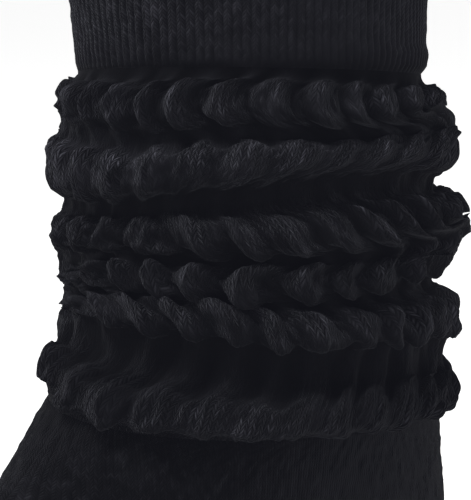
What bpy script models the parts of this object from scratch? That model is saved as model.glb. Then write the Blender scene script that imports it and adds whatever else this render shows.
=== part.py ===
# Slouch sock: a fine ribbed cuff, a wide-ribbed leg pushed down into six folds, and a plain foot.
# One knitted tube, worn upright with the foot flat, hollow from the mouth of the cuff to the toe.
# The toe points along -Y and +Z is up. The origin is the centre of the cuff's mouth.

import math

import bpy
import numpy as np

MM = 0.001

# Driving dimensions, in millimetres. Heights are above the flat underside of the sole.
SOCK_HEIGHT = 218.0
LEG_CLOTH = 1.6
CUFF_CLOTH = 1.6
FOOT_CLOTH = 1.8
SEAM_GAP = 0.3
LEG_RIBS = 26
LEG_RIB_RISE = 3.4
CUFF_RIBS = 124
CUFF_RIB_RISE = 0.5

# How finely the walls are faceted.
ROWS_PER_WEB = 3
POINTS_PER_LEG_RIB = 3
POINTS_PER_CUFF_RIB = 2
CUFF_LINING_COLUMNS = 62
FOOT_COLUMNS = 48
FOOT_LINING_COLUMNS = 24
RINGS_PER_FOOT_SECTION = 2

# Directions round the leg, seen from above and counted from +X.
TOE_ANGLE = math.radians(270.0)
FIRST_COLUMN_ANGLE = math.radians(235.0)
TWIST_RADIUS = 45.0

# The plain outer surface that the cloth would have with no folds.
# height, reach towards the toe, reach to each side, reach towards the heel
LEG_FORM = (
    (76.0, 59.6, 41.6, 50.4),
    (84.0, 54.0, 41.2, 49.2),
    (92.0, 48.4, 40.4, 46.8),
    (100.0, 44.2, 39.7, 44.8),
    (110.0, 42.0, 39.4, 43.0),
    (125.0, 41.5, 39.4, 42.0),
    (145.0, 41.4, 39.5, 41.7),
    (163.0, 41.5, 39.5, 41.7),
    (180.0, 43.4, 40.2, 42.9),
    (200.0, 45.2, 41.6, 45.0),
    (218.0, 46.2, 43.0, 47.0),
)

# The folds, from the cuff down. A row of eight gives a size at eight places round the leg. The
# first is at FIRST_COLUMN_ANGLE, 35 degrees short of the toe, and each is 45 degrees on from the last.
# crest_height and valley_height: the fold's outermost line, and the crease below it
# crest_out and valley_out: how far those stand out from the plain form
# crest_full and valley_full: how far the cloth keeps going straight down there, as a share of the web
# crest_twist and valley_twist: how far the ribs have slid round the leg there, in millimetres
# rib_share: the share of the ribs' rise that the fold's crest keeps
FOLDS = (
    dict(name="first", crest_full=0.62, valley_full=0.55,
         crest_height=(156.7, 157.1, 158.0, 156.6, 153.8, 154.2, 156.5, 157.5),
         crest_out=(5.4, 5.8, 6.2, 6.0, 5.4, 6.2, 6.2, 5.6),
         crest_twist=(0.0, -1.0, -6.3, -7.5, -6.0, -5.0, -5.0, -3.0),
         valley_height=(149.7, 148.9, 149.5, 149.5, 151.5, 149.5, 149.0, 149.0),
         valley_out=(3.2, 1.0, 1.0, 2.0, 5.6, 2.0, 1.0, 1.6),
         valley_twist=(2.0, 2.5, 2.5, 6.0, 5.0, 3.0, 3.0, 2.0),
         rib_share=(1.0, 0.95, 0.95, 0.9, 0.9, 1.0, 1.0, 1.0)),
    dict(name="second", crest_full=0.78, valley_full=0.66,
         crest_height=(140.6, 141.3, 145.9, 146.6, 145.9, 143.5, 141.5, 139.5),
         crest_out=(8.4, 8.6, 7.0, 6.6, 8.6, 8.8, 8.0, 8.4),
         crest_twist=(0.0, 0.5, 0.0, 1.0, 1.0, 0.0, 0.0, 0.0),
         valley_height=(131.6, 131.2, 136.6, 139.0, 136.6, 134.5, 132.5, 130.8),
         valley_out=(2.8, -0.4, -0.6, 0.0, 3.2, 0.6, 0.4, 0.4),
         valley_twist=(-1.0, -3.0, -8.0, -11.0, -9.0, -7.0, -4.0, -2.0),
         rib_share=(0.8, 0.5, 0.28, 0.3, 0.8, 0.9, 0.7, 0.7)),
    dict(name="third", crest_full=0.62, valley_full=0.50,
         crest_height=(124.2, 127.1, 128.6, 129.2, 128.5, 127.0, 125.0, 123.0),
         crest_out=(6.7, 7.4, 7.8, 8.8, 11.2, 9.6, 8.2, 7.2),
         crest_twist=(-3.0, -4.2, -1.8, -4.0, -4.0, -3.0, -2.0, -2.0),
         valley_height=(117.5, 121.7, 122.3, 122.6, 124.8, 121.4, 118.5, 116.5),
         valley_out=(3.4, 1.6, 1.0, 3.2, 9.2, 4.4, 1.0, 1.4),
         valley_twist=(-1.0, -2.0, 5.5, 6.5, 6.0, 5.0, 4.0, 1.0),
         rib_share=(1.0, 1.15, 1.05, 1.1, 1.1, 1.0, 1.0, 1.0)),
    dict(name="fourth", crest_full=0.60, valley_full=0.52,
         crest_height=(113.4, 118.2, 117.6, 118.4, 121.6, 117.6, 113.0, 111.5),
         crest_out=(4.9, 6.8, 7.4, 8.0, 9.6, 8.6, 7.2, 6.4),
         crest_twist=(1.0, 0.5, 0.4, 1.0, 1.0, 1.0, 0.5, 0.5),
         valley_height=(108.7, 114.4, 112.2, 112.8, 113.0, 110.2, 108.2, 107.6),
         valley_out=(2.4, 1.0, 0.4, 0.6, 3.4, 1.2, 0.4, 0.8),
         valley_twist=(7.0, 7.5, 9.0, 9.0, 9.0, 8.0, 8.0, 7.0),
         rib_share=(0.6, 1.1, 1.1, 1.0, 1.0, 1.0, 1.0, 0.9)),
    dict(name="fifth", crest_full=0.66, valley_full=0.60,
         crest_height=(105.3, 110.6, 106.9, 106.0, 102.8, 102.6, 103.4, 103.2),
         crest_out=(4.2, 5.6, 8.4, 8.6, 9.4, 8.8, 7.6, 6.0),
         crest_twist=(16.0, 17.2, 16.0, 15.9, 15.5, 15.0, 15.0, 15.0),
         valley_height=(101.4, 104.6, 99.1, 98.7, 95.0, 96.0, 98.0, 98.8),
         valley_out=(2.6, 0.6, 0.0, 0.2, 2.6, 0.8, 0.4, 0.8),
         valley_twist=(18.0, 19.0, 18.0, 18.0, 17.0, 17.0, 17.0, 17.0),
         rib_share=(0.5, 0.75, 0.85, 0.9, 0.9, 1.0, 1.0, 0.8)),
    dict(name="sixth", crest_full=0.66, valley_full=0.70,
         crest_height=(95.2, 89.6, 86.4, 85.6, 84.8, 86.4, 89.4, 93.0),
         crest_out=(4.7, 7.2, 9.2, 8.0, 4.5, 6.0, 8.0, 7.0),
         crest_twist=(2.0, 1.5, 0.5, 0.5, 1.0, 1.0, 1.0, 2.0),
         valley_height=(86.6, 84.4, 81.8, 81.2, 80.6, 81.2, 82.6, 85.0),
         valley_out=(-1.0, -1.2, -1.2, -1.2, -1.0, -1.0, -1.0, -1.0),
         valley_twist=(0.0, 0.0, 0.0, 0.0, 0.0, 0.0, 0.0, 0.0),
         rib_share=(0.8, 0.6, 0.28, 0.35, 0.7, 0.8, 0.6, 0.7)),
)
NECK_HEIGHT = (162.6, 165.0, 165.8, 164.4, 161.9, 161.5, 162.6, 162.4)
NECK_TWIST = (4.0, 4.0, 0.3, -0.5, 0.0, 0.0, 0.0, 2.0)
NECK_FULL = 0.60

# Small uneven waves that cloth pushed down by hand has: waves round the leg, height, reach
FOLD_UNEVENNESS = (
    (3, 0.30, 0.25),
    (5, 0.35, 0.25),
    (8, 0.25, 0.20),
)

# Share of the rib's rise that is left in a crease, and the stretch where it dies out at a seam.
CREASE_RIB_SHARE = 0.25
SEAM_FADE = 0.25

# The cuff's outer surface. rise above the neck, extra reach at four places, 90 degrees apart
CUFF_ROWS = (
    (0.0, (0.0, 0.0, 0.0, 0.0)),
    (1.8, (0.1, 0.4, 0.9, 0.5)),
    (4.2, (0.1, 0.5, 1.2, 0.6)),
    (8.0, (0.0, 0.2, 0.4, 0.2)),
    (17.0, (0.0, 0.0, 0.0, 0.0)),
    (34.0, (0.0, 0.0, 0.0, 0.0)),
)

# Sections of the foot. Each is a ring in the plane through its upper and its lower point.
# upper point forward, its height, lower point forward, its height, half width, squareness below
FOOT_SECTIONS = (
    dict(name="seam", upper=(54.0, 84.0), lower=(-49.8, 80.6), side=41.2, square=2.0),
    dict(name="ankle", upper=(59.6, 76.0), lower=(-50.8, 71.5), side=40.6, square=2.05),
    dict(name="upper_heel", upper=(65.6, 68.6), lower=(-52.6, 58.5), side=39.4, square=2.1),
    dict(name="heel_back", upper=(72.8, 61.2), lower=(-54.6, 41.0), side=38.2, square=2.15),
    dict(name="heel_curve", upper=(80.4, 55.2), lower=(-53.6, 20.5), side=37.2, square=2.25),
    dict(name="heel_corner", upper=(87.6, 51.0), lower=(-43.0, 4.0), side=36.6, square=2.4),
    dict(name="heel_pad", upper=(94.4, 48.0), lower=(-20.0, -1.5), side=36.0, square=2.6),
    dict(name="arch", upper=(102.0, 45.0), lower=(13.0, -1.5), side=35.6, square=2.6),
    dict(name="midfoot", upper=(112.0, 41.0), lower=(51.0, -1.5), side=37.0, square=2.6),
    dict(name="low_instep", upper=(127.0, 36.5), lower=(91.0, -1.5), side=41.0, square=2.6),
    dict(name="ball", upper=(145.0, 31.0), lower=(123.0, -1.5), side=44.0, square=2.5),
    dict(name="toes", upper=(161.0, 26.0), lower=(149.0, -1.5), side=42.6, square=2.4),
    dict(name="toe", upper=(174.0, 21.0), lower=(169.0, -0.5), side=35.5, square=2.3),
    dict(name="toe_end", upper=(183.0, 15.2), lower=(181.4, 2.6), side=24.0, square=2.2),
    dict(name="tip", upper=(187.3, 10.8), lower=(186.9, 6.6), side=11.0, square=2.0),
)
TIP_FORWARD = 188.4
TIP_HEIGHT = 8.6

BLACK_YARN = (0.016, 0.0165, 0.020, 1.0)
YARN_ROUGHNESS = 0.92


# Curves

def smooth_between(at, places, values):
    """A smooth curve through the values at the places, read at each point of at."""
    places = np.asarray(places, float)
    values = np.asarray(values, float)
    slopes = np.gradient(values, places)
    at = np.clip(at, places[0], places[-1])
    i = np.clip(np.searchsorted(places, at, side="right") - 1, 0, len(places) - 2)
    gap = places[i + 1] - places[i]
    t = (at - places[i]) / gap
    keep = 2 * t**3 - 3 * t**2 + 1
    return (keep * values[i] + (1 - keep) * values[i + 1]
            + (t**3 - 2 * t**2 + t) * gap * slopes[i] + (t**3 - t**2) * gap * slopes[i + 1])


def around(sizes, angle):
    """A size known at even steps round the leg, carried smoothly from one to the next."""
    count = len(sizes)
    steps = np.arange(count) * 2 * math.pi / count
    turned = angle - FIRST_COLUMN_ANGLE
    total = np.full_like(angle, np.mean(sizes))
    for wave in range(1, count // 2 + 1):
        share = (1 if 2 * wave == count else 2) / count
        total = total + share * (np.sum(sizes * np.cos(wave * steps)) * np.cos(wave * turned)
                                 + np.sum(sizes * np.sin(wave * steps)) * np.sin(wave * turned))
    return total


def unevenness(fold, angle, column):
    """The small waves of one fold. Each fold starts them at its own place."""
    total = np.zeros_like(angle)
    for row in FOLD_UNEVENNESS:
        waves = row[0]
        start = 1.7 * fold + 0.9 * waves
        total = total + row[column] * np.sin(waves * angle + start)
    return total


# The leg

def form_reach(height, angle):
    """Reach of the plain form: a half ellipse towards the toe and another towards the heel."""
    heights, toe, side, heel = (np.array(column) for column in zip(*LEG_FORM))
    forward = np.cos(angle - TOE_ANGLE)
    across = np.sin(angle - TOE_ANGLE)
    end = np.where(forward > 0, smooth_between(height, heights, toe),
                   smooth_between(height, heights, heel))
    wide = smooth_between(height, heights, side)
    return 1 / np.sqrt((forward / end) ** 2 + (across / wide) ** 2)


def fold_knots(angle):
    """Creases and crests in turn, from the neck down: (height, reach, fullness) of each."""
    neck = around(NECK_HEIGHT, angle)
    knots = [(neck, form_reach(neck, angle), NECK_FULL)]
    for i, fold in enumerate(FOLDS):
        crest = around(fold["crest_height"], angle) + unevenness(i, angle, 1)
        out = around(fold["crest_out"], angle) + unevenness(i + 9, angle, 2)
        ribs = LEG_RIB_RISE * around(fold["rib_share"], angle)
        knots.append((crest, form_reach(crest, angle) + out - ribs, fold["crest_full"]))
        valley = around(fold["valley_height"], angle)
        if fold is not FOLDS[-1]:
            valley = valley + unevenness(i + 0.5, angle, 1)
        reach = form_reach(valley, angle) + around(fold["valley_out"], angle)
        knots.append((valley, reach, fold["valley_full"]))
    return knots


def between_knots(row, values):
    """The value at each row of a grid, carried smoothly from one crease or crest to the next."""
    slopes = np.gradient(values, axis=0)
    web = np.clip(row.astype(int), 0, len(values) - 2)
    k = np.arange(len(row))
    t = (row - web)[:, None]
    keep = 2 * t**3 - 3 * t**2 + 1
    return (keep * values[web, k] + (1 - keep) * values[web + 1, k]
            + (t**3 - 2 * t**2 + t) * slopes[web, k] + (t**3 - t**2) * slopes[web + 1, k])


def slid_angle(row, angle):
    """Where a rib that leaves the cuff at the angle has slid to, at each row."""
    twists = [around(NECK_TWIST, angle)]
    for fold in FOLDS:
        twists += [around(fold["crest_twist"], angle), around(fold["valley_twist"], angle)]
    return angle + between_knots(row, np.stack(twists)) / TWIST_RADIUS


def leg_surface(row, angle):
    """(reach, height, outward slope) of the leg's plain outer surface, on a grid of rows by angles.

    row counts the webs between crease and crest, from the neck down.
    """
    knots = fold_knots(angle)
    heights = np.stack([k[0] for k in knots])
    reaches = np.stack([k[1] for k in knots])
    fulls = np.array([k[2] for k in knots])
    web = np.clip(row.astype(int), 0, len(knots) - 2)
    k = np.arange(len(row))
    t = (row - web)[:, None]
    h0, h1 = heights[web, k], heights[web + 1, k]
    r0, r1 = reaches[web, k], reaches[web + 1, k]
    drop = h0 - h1
    p1 = h0 - fulls[web][:, None] * drop
    p2 = h1 + fulls[web + 1][:, None] * drop
    height = (1 - t)**3 * h0 + 3 * t * (1 - t)**2 * p1 + 3 * t**2 * (1 - t) * p2 + t**3 * h1
    reach = r0 + (r1 - r0) * (3 * t**2 - 2 * t**3)
    fall = 3 * (1 - t)**2 * (p1 - h0) + 6 * t * (1 - t) * (p2 - p1) + 3 * t**2 * (h1 - p2)
    swell = (r1 - r0) * 6 * t * (1 - t)
    steep = np.hypot(fall, swell) + 1e-9
    return reach, height, (-fall / steep, swell / steep)


def rib_swell(row):
    """How proud the ribs stand: most on a crest, least in a crease, and flush at both seams."""
    last = 2 * len(FOLDS)
    swell = CREASE_RIB_SHARE + (1 - CREASE_RIB_SHARE) * np.sin(row * math.pi / 2)**2
    ends = np.clip(np.minimum(row, last - row) / (2 * SEAM_FADE), 0, 1)
    return (swell * ends)[:, None]


def rib_share(row, angle):
    """The share of the ribs' rise at each row. One crest's share holds until close to the next crest."""
    shares = np.stack([around(fold["rib_share"], angle) for fold in FOLDS])
    place = np.clip(row / 2 - 0.5, 0, len(FOLDS) - 1)
    upper = np.clip(place.astype(int), 0, len(FOLDS) - 2)
    k = np.arange(len(row))
    return shares[upper, k] + (shares[upper + 1, k] - shares[upper, k]) * ((place - upper)**3)[:, None]


def ring_points(reach, angle, height):
    return np.stack([reach * np.cos(angle), reach * np.sin(angle), height - SOCK_HEIGHT], axis=-1)


def leg_walls():
    rows = np.arange(2 * len(FOLDS) * ROWS_PER_WEB + 1) / ROWS_PER_WEB
    columns = LEG_RIBS * POINTS_PER_LEG_RIB
    angle = np.ones((len(rows), 1)) * np.arange(columns) * 2 * math.pi / columns
    groove = np.arange(columns) % POINTS_PER_LEG_RIB == 0
    slid = slid_angle(rows, angle)
    reach, height, (out, up) = leg_surface(rows, slid)
    rise = LEG_RIB_RISE * rib_share(rows, slid) * rib_swell(rows) * np.where(groove, 0.0, 1.0)
    outer = ring_points(reach + rise * out, slid, height + rise * up)
    angle = np.ones((len(rows), 1)) * np.arange(LEG_RIBS) * 2 * math.pi / LEG_RIBS
    slid = slid_angle(rows, angle)
    reach, height, (out, up) = leg_surface(rows, slid)
    inner = ring_points(reach - LEG_CLOTH * out, slid, height - LEG_CLOTH * up)
    return outer, inner


# The cuff

def cuff_walls():
    rises = np.array([row[0] for row in CUFF_ROWS] + [None], float)
    places = [row[1] for row in CUFF_ROWS] + [(0.0, 0.0, 0.0, 0.0)]

    def surface(columns, inward, ribbed):
        angle = np.arange(columns) * 2 * math.pi / columns
        neck = around(NECK_HEIGHT, angle) + SEAM_GAP
        height = np.stack([neck + rise for rise in rises[:-1]] + [np.full(columns, SOCK_HEIGHT)])
        extra = np.stack([around(sizes, angle) for sizes in places])
        ridge = np.arange(columns) % POINTS_PER_CUFF_RIB * CUFF_RIB_RISE * ribbed
        reach = form_reach(height, angle) + extra + ridge - inward
        return ring_points(reach, angle, height)[::-1]

    return (surface(CUFF_RIBS * POINTS_PER_CUFF_RIB, 0.0, 1),
            surface(CUFF_LINING_COLUMNS, CUFF_CLOTH, 0))


# The foot

def foot_rings(columns):
    """The foot's outer surface as rings of points (forward, across, height), from the seam on."""
    count = len(FOOT_SECTIONS)
    places = np.arange(count)
    at = np.arange((count - 1) * RINGS_PER_FOOT_SECTION + 1) / RINGS_PER_FOOT_SECTION
    upper = np.stack([smooth_between(at, places, [s["upper"][k] for s in FOOT_SECTIONS])
                      for k in (0, 1)], axis=-1)
    lower = np.stack([smooth_between(at, places, [s["lower"][k] for s in FOOT_SECTIONS])
                      for k in (0, 1)], axis=-1)
    side = smooth_between(at, places, [s["side"] for s in FOOT_SECTIONS])
    square = smooth_between(at, places, [s["square"] for s in FOOT_SECTIONS])
    angle = np.arange(columns) * 2 * math.pi / columns
    along, across = np.cos(angle - TOE_ANGLE), np.sin(angle - TOE_ANGLE)
    power = np.where(along < 0, square[:, None], 2.0)
    round_off = (np.abs(along)**power + np.abs(across)**power)**(-1 / power)
    middle, half = (upper + lower) / 2, (upper - lower) / 2
    sagittal = middle[:, None, :] + half[:, None, :] * (along * round_off)[..., None]
    return np.stack([sagittal[..., 0], side[:, None] * across * round_off, sagittal[..., 1]], axis=-1)


def outward_normals(rings):
    """Unit normals of a closed-round grid, taken from the points on each side."""
    along = np.gradient(rings, axis=0)
    across = np.roll(rings, -1, axis=1) - np.roll(rings, 1, axis=1)
    normal = np.cross(along, across)
    return normal / np.linalg.norm(normal, axis=-1, keepdims=True)


def foot_points(rings):
    """Forward, across and height turned into the sock's frame, with the toe along -Y."""
    return np.stack([rings[..., 1], -rings[..., 0], rings[..., 2] - SOCK_HEIGHT], axis=-1)


def seam_ring(columns, inward):
    """The foot's top edge, just under the leg's lowest crease: (forward, across, height)."""
    angle = np.arange(columns) * 2 * math.pi / columns
    height = around(FOLDS[-1]["valley_height"], angle) - SEAM_GAP
    reach = form_reach(height, angle) + around(FOLDS[-1]["valley_out"], angle) - inward
    return np.stack([-reach * np.sin(angle), reach * np.cos(angle), height], axis=-1)


def foot_walls():
    outer = foot_rings(FOOT_COLUMNS)
    outer[0] = seam_ring(FOOT_COLUMNS, 0.0)
    lining = foot_rings(FOOT_LINING_COLUMNS)
    lining = lining - FOOT_CLOTH * outward_normals(lining)
    lining[0] = seam_ring(FOOT_LINING_COLUMNS, FOOT_CLOTH)
    outer[..., 2] = np.maximum(outer[..., 2], 0.0)
    lining[..., 2] = np.maximum(lining[..., 2], FOOT_CLOTH)
    tip = np.array([[[TIP_FORWARD, 0.0, TIP_HEIGHT]]])
    inner_tip = tip - [[[FOOT_CLOTH, 0.0, 0.0]]]
    return foot_points(outer), foot_points(lining), foot_points(tip), foot_points(inner_tip)


# Meshes

def grid_faces(start, rows, columns, inward):
    faces = []
    for r in range(rows - 1):
        for c in range(columns):
            a = start + r * columns + c
            b = start + r * columns + (c + 1) % columns
            face = (a, a + columns, b + columns, b)
            faces.append(face[::-1] if inward else face)
    return faces


def rim_faces(outer_start, outer_count, inner_start, inner_count, top):
    """Closes the edge between an outer ring and an inner ring that has fewer points."""
    share = outer_count // inner_count
    faces = []
    for i in range(outer_count):
        a, b = outer_start + i, outer_start + (i + 1) % outer_count
        m = i // share
        near = inner_start + m
        faces.append((a, b, near) if top else (b, a, near))
        if (i + 1) % share == 0:
            following = inner_start + (m + 1) % inner_count
            faces.append((b, following, near) if top else (following, b, near))
    return faces


def wall_object(name, outer, inner, outer_tip=None, inner_tip=None):
    """A closed cloth wall from its outer and inner grids, open at both ends or closed at a tip."""
    rows, wide = outer.shape[:2]
    narrow = inner.shape[1]
    points = [outer.reshape(-1, 3), inner.reshape(-1, 3)]
    inside = rows * wide
    faces = grid_faces(0, rows, wide, False) + grid_faces(inside, rows, narrow, True)
    faces += rim_faces(0, wide, inside, narrow, True)
    last, inside_last = (rows - 1) * wide, inside + (rows - 1) * narrow
    if outer_tip is None:
        faces += rim_faces(last, wide, inside_last, narrow, False)
    else:
        tip = inside + rows * narrow
        points += [outer_tip.reshape(-1, 3), inner_tip.reshape(-1, 3)]
        faces += [(last + (c + 1) % wide, last + c, tip) for c in range(wide)]
        faces += [(inside_last + c, inside_last + (c + 1) % narrow, tip + 1) for c in range(narrow)]
    mesh = bpy.data.meshes.new(name)
    mesh.from_pydata((np.concatenate(points) * MM).tolist(), [], faces)
    mesh.update()
    mesh.shade_smooth()
    cloth = bpy.data.objects.new(name, mesh)
    bpy.context.scene.collection.objects.link(cloth)
    return cloth


def yarn(name, roughness):
    material = bpy.data.materials.new(name)
    material.use_nodes = True
    shader = material.node_tree.nodes["Principled BSDF"]
    shader.inputs["Base Color"].default_value = BLACK_YARN
    shader.inputs["Roughness"].default_value = roughness
    shader.inputs["Metallic"].default_value = 0.0
    return material


def main():
    for old in list(bpy.data.objects):
        bpy.data.objects.remove(old)
    pieces = (
        wall_object("ribbed_cuff", *cuff_walls()),
        wall_object("slouched_leg", *leg_walls()),
        wall_object("foot", *foot_walls()),
    )
    for piece in pieces:
        piece.data.materials.append(yarn(piece.name + "_yarn", YARN_ROUGHNESS))


main()
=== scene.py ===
# Slouch sock in black cotton knit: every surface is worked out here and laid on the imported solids.
# Sizes in the dictionaries are millimetres unless a name says otherwise. The toe points along -Y,
# +Z is up, the origin is the centre of the cuff's mouth, and heights are counted from the sole.
import math

import bpy
import numpy as np
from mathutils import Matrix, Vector


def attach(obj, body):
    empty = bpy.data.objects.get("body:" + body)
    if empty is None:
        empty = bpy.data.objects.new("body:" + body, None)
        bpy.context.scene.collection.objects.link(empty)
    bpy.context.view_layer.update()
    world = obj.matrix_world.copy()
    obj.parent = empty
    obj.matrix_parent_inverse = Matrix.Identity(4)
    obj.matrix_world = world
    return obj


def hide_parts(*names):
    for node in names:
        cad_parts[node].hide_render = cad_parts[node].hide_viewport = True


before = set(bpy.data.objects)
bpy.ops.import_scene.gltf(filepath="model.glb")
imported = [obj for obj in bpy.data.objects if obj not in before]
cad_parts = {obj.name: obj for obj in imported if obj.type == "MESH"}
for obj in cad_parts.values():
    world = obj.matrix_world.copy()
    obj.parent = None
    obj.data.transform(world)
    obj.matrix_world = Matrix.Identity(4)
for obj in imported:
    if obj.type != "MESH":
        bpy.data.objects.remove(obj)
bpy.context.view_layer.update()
print("frame loaded")

mm = 0.001
turn = 2 * math.pi


# What the three stretches of the sock share

sock = {
    "height": 218.0,
    "toeAngle": math.radians(270.0),
    "firstColumnAngle": math.radians(235.0),
    "twistRadius": 45.0,
}

# The plain outer surface that the cloth would have with no folds.
# height, reach towards the toe, reach to each side, reach towards the heel
plainForm = (
    (76.0, 59.6, 41.6, 50.4),
    (84.0, 54.0, 41.2, 49.2),
    (92.0, 48.4, 40.4, 46.8),
    (100.0, 44.2, 39.7, 44.8),
    (110.0, 42.0, 39.4, 43.0),
    (125.0, 41.5, 39.4, 42.0),
    (145.0, 41.4, 39.5, 41.7),
    (163.0, 41.5, 39.5, 41.7),
    (180.0, 43.4, 40.2, 42.9),
    (200.0, 45.2, 41.6, 45.0),
    (218.0, 46.2, 43.0, 47.0),
)

# The folds, from the cuff down. A row of sizes goes round the leg in even steps from the first
# column's angle. A crest is a fold's outermost line, and a valley is the crease below it.
# Out is how far it stands out from the plain form, full how long the cloth keeps going straight
# down there, as a share of the web, and twist how far the ribs have slid round the leg.
folds = (
    {"crestFull": 0.62, "valleyFull": 0.55,
     "crestHeight": (156.7, 157.1, 158.0, 156.6, 153.8, 154.2, 156.5, 157.5),
     "crestOut": (5.4, 5.8, 6.2, 6.0, 5.4, 6.2, 6.2, 5.6),
     "crestTwist": (0.0, -1.4, -6.0, -7.5, -6.0, -5.0, -5.0, -3.0),
     "valleyHeight": (149.7, 148.9, 149.5, 149.5, 150.3, 149.3, 149.0, 149.0),
     "valleyOut": (2.6, 1.0, 1.0, 2.0, 5.4, 2.0, 1.0, 1.4),
     "valleyTwist": (0.0, 0.2, 0.6, 5.0, 5.0, 3.0, 3.0, 2.0)},
    {"crestFull": 0.73, "valleyFull": 0.66,
     "crestHeight": (140.6, 141.3, 145.9, 146.6, 145.9, 143.5, 141.5, 139.5),
     "crestOut": (8.4, 8.6, 7.0, 6.6, 8.6, 8.8, 8.0, 8.4),
     "crestTwist": (0.0, 0.5, 0.0, 1.0, 1.0, 0.0, 0.0, 0.0),
     "valleyHeight": (132.2, 131.2, 136.6, 139.0, 134.6, 133.8, 132.5, 130.8),
     "valleyOut": (2.8, -0.4, -0.6, 0.0, 1.8, 0.4, 0.4, 0.4),
     "valleyTwist": (-1.0, -3.0, -8.0, -11.0, -9.0, -7.0, -4.0, -2.0)},
    {"crestFull": 0.62, "valleyFull": 0.50,
     "crestHeight": (125.0, 127.1, 128.6, 129.2, 128.8, 127.0, 125.0, 123.4),
     "crestOut": (6.7, 7.4, 7.8, 8.8, 11.7, 9.8, 8.2, 7.2),
     "crestTwist": (-3.0, -4.2, -1.8, -4.0, -4.0, -3.0, -2.0, -2.0),
     "valleyHeight": (117.5, 121.7, 122.3, 122.6, 124.8, 121.4, 118.5, 116.5),
     "valleyOut": (3.2, 1.6, 1.0, 3.2, 8.8, 4.2, 1.0, 1.4),
     "valleyTwist": (-1.0, -2.0, 5.5, 6.5, 6.0, 5.0, 4.0, 1.0)},
    {"crestFull": 0.60, "valleyFull": 0.52,
     "crestHeight": (112.6, 118.2, 117.6, 118.4, 121.8, 117.6, 113.0, 111.3),
     "crestOut": (4.4, 6.8, 7.4, 8.0, 9.4, 8.6, 7.2, 6.4),
     "crestTwist": (1.0, 0.5, 0.4, 1.0, 1.0, 1.0, 0.5, 0.5),
     "valleyHeight": (108.3, 114.4, 112.2, 112.7, 112.5, 110.0, 108.2, 107.4),
     "valleyOut": (2.4, 1.0, 0.4, 0.6, 0.9, 0.7, 0.4, 0.8),
     "valleyTwist": (7.0, 7.5, 9.0, 9.0, 9.0, 8.0, 8.0, 7.0)},
    {"crestFull": 0.60, "valleyFull": 0.90,
     "crestHeight": (105.0, 110.6, 106.9, 106.0, 103.5, 102.9, 103.4, 103.0),
     "crestOut": (3.4, 5.6, 8.4, 8.6, 8.6, 8.6, 7.6, 5.8),
     "crestTwist": (16.0, 17.2, 16.0, 15.9, 15.5, 15.0, 15.0, 15.0),
     "valleyHeight": (101.4, 104.6, 99.1, 98.7, 95.0, 96.0, 98.0, 98.8),
     "valleyOut": (2.6, 0.6, 0.0, 0.2, 1.6, 0.6, 0.4, 0.8),
     "valleyTwist": (18.0, 19.0, 18.0, 18.0, 17.0, 17.0, 17.0, 17.0)},
    {"crestFull": 0.62, "valleyFull": 0.70,
     "crestHeight": (95.0, 89.2, 85.7, 85.3, 84.9, 86.6, 89.4, 92.6),
     "crestOut": (3.4, 7.2, 9.2, 8.0, 4.3, 6.0, 8.0, 6.6),
     "crestTwist": (14.0, 14.0, 10.5, 4.5, 2.0, 2.0, 5.0, 10.0),
     "valleyHeight": (86.6, 84.4, 81.8, 81.2, 80.6, 81.2, 82.6, 85.0),
     "valleyOut": (-1.0, -1.2, -1.2, -1.2, -1.0, -1.0, -1.0, -1.0),
     "valleyTwist": (10.0, 10.0, 6.0, 0.0, -3.0, -2.0, 2.0, 7.0)},
)
neck = {
    "height": (162.6, 165.0, 165.8, 164.4, 161.9, 161.5, 162.6, 162.4),
    "full": 0.60,
    "twist": (6.0, 6.0, 2.0, 0.0, 0.0, 0.0, 0.0, 2.0),
}

# Small uneven waves of cloth pushed down by hand: waves round the leg, height, reach
foldWaves = ((3, 0.30, 0.25), (5, 0.35, 0.25), (8, 0.25, 0.20))
# Radians by which each fold and each wave starts later, and folds by which the reach is ahead
foldPhase, wavePhase, reachAhead = 1.7, 0.9, 9


def around(sizes, angle):
    # A Fourier sum through sizes known at even steps round the leg.
    count = len(sizes)
    steps = np.arange(count) * turn / count
    turned = angle - sock["firstColumnAngle"]
    total = np.full_like(angle, np.mean(sizes))
    for wave in range(1, count // 2 + 1):
        share = (1 if 2 * wave == count else 2) / count
        cosine = share * np.sum(sizes * np.cos(wave * steps))
        sine = share * np.sum(sizes * np.sin(wave * steps))
        total = total + cosine * np.cos(wave * turned) + sine * np.sin(wave * turned)
    return total


def ease(t):
    # A cubic from 0 to 1 that starts and ends level.
    return t * t * (3 - 2 * t)


def cubic(t, first, second, firstSlope, secondSlope):
    # A cubic from the first value to the second, with the slope that each end is given.
    return (first + (second - first) * ease(t)
            + (t**3 - 2 * t**2 + t) * firstSlope + (t**3 - t**2) * secondSlope)


def smoothBetween(at, places, values):
    # A cubic through each value, with the slope there that its two neighbours give.
    places, values = np.asarray(places, float), np.asarray(values, float)
    slopes = np.gradient(values, places)
    at = np.clip(at, places[0], places[-1])
    i = np.clip(np.searchsorted(places, at, side="right") - 1, 0, len(places) - 2)
    gap = places[i + 1] - places[i]
    return cubic((at - places[i]) / gap, values[i], values[i + 1], gap * slopes[i], gap * slopes[i + 1])


def plainReach(height, angle):
    # Half an ellipse towards the toe and half of another towards the heel, at each height.
    heights, toe, side, heel = zip(*plainForm)
    forward = np.cos(angle - sock["toeAngle"])
    across = np.sin(angle - sock["toeAngle"])
    end = np.where(forward > 0, smoothBetween(height, heights, toe), smoothBetween(height, heights, heel))
    wide = smoothBetween(height, heights, side)
    return 1 / np.sqrt((forward / end)**2 + (across / wide)**2)


def waves(fold, angle, column):
    # A sum of sines round the leg, which each fold starts at its own place.
    total = np.zeros_like(angle)
    for row in foldWaves:
        phase = foldPhase * fold + wavePhase * row[0]
        total = total + row[column] * np.sin(row[0] * angle + phase)
    return total


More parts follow.
